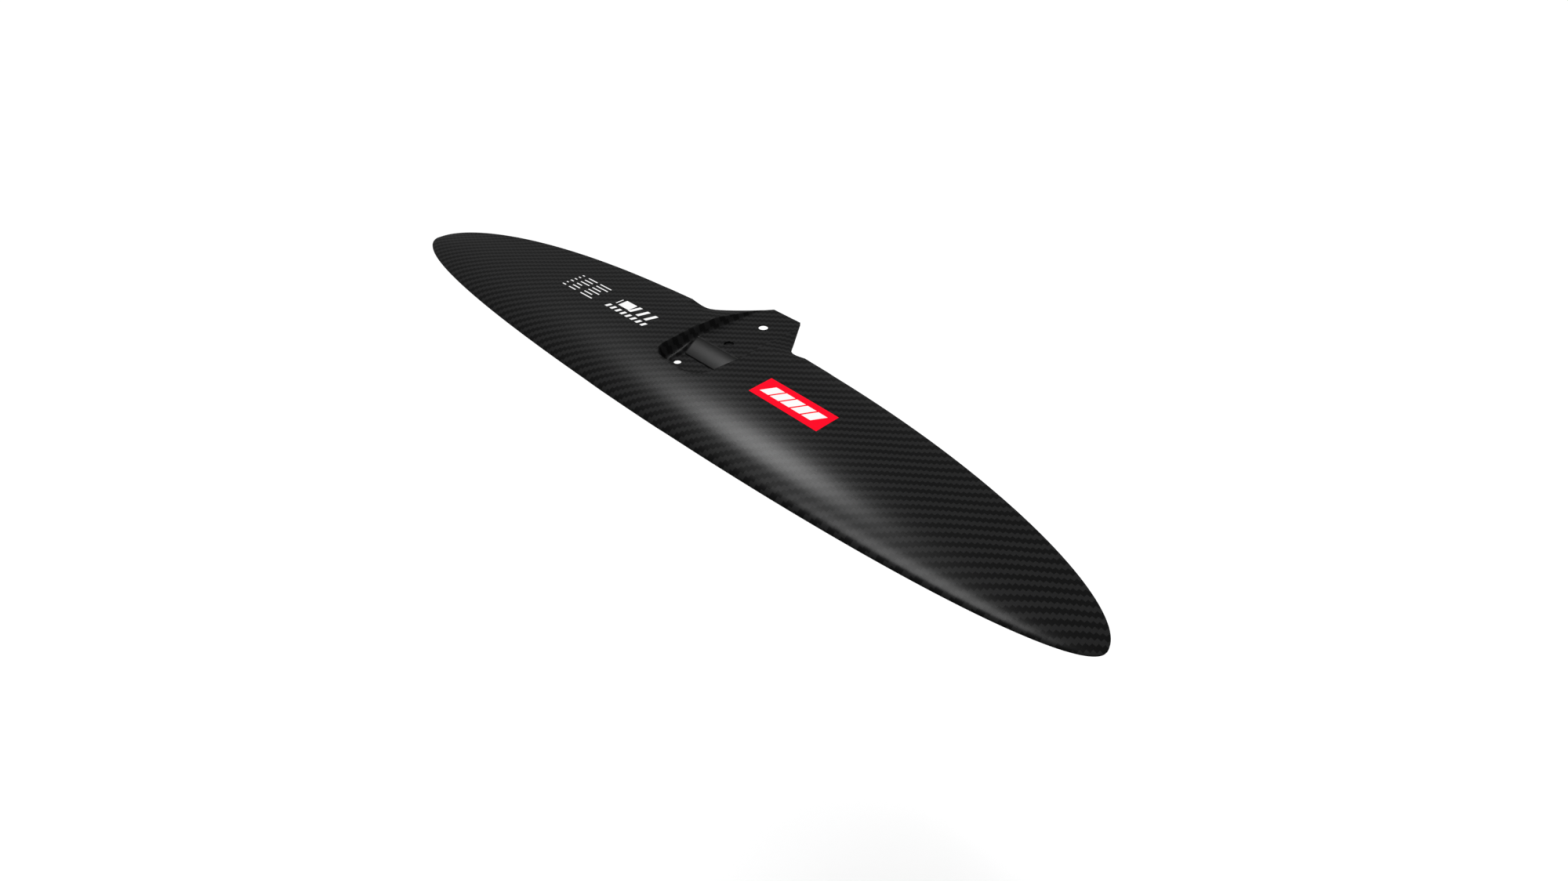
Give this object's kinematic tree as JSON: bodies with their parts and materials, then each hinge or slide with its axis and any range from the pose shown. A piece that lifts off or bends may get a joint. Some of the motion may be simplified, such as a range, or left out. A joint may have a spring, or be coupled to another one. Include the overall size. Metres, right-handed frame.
{
  "type": "hydrofoil front wing",
  "caption": "Moulded carbon hydrofoil front wing, oval in plan with drooped tips, with an open pocket and a tail tab on its upper face that take a fuselage nose held by screws from below.",
  "frame": {"origin": "on the flat fuselage seat at the bottom of the pocket, on the centre line, midway between the two screw places behind each other", "axes": "+X along the span, +Y from the leading edge to the tail tab, +Z out of the pocket, square to the seat"},
  "size_m": [0.67, 0.1565, 0.0217],
  "materials": {
    "twill": "satin clear coat over carbon twill",
    "laminate": "bare carbon laminate",
    "smooth": "smooth satin, no weave",
    "foam": "closed-cell foam",
    "filler": "filled resin",
    "decal_red": "printed film under clear coat",
    "decal_white": "printed film under clear coat"
  },
  "bodies": {
    "root": {"top_skin": "twill", "bottom_skin_left": "twill", "bottom_skin_middle": "twill", "bottom_skin_right": "twill", "pocket_liner": "twill", "ramp_pad": "smooth", "root_block": "laminate", "spar_cap_top": "laminate", "spar_cap_bottom": "laminate", "spar_web": "laminate", "leading_edge_left": "laminate", "front_core_left": "foam", "rear_core_left": "foam", "trailing_edge_left": "laminate", "tip_filler_left": "filler", "leading_edge_right": "laminate", "front_core_right": "foam", "rear_core_right": "foam", "trailing_edge_right": "laminate", "tip_filler_right": "filler", "decal_panel": "decal_red", "decal_mark": "decal_white"}
  },
  "joints": []
}
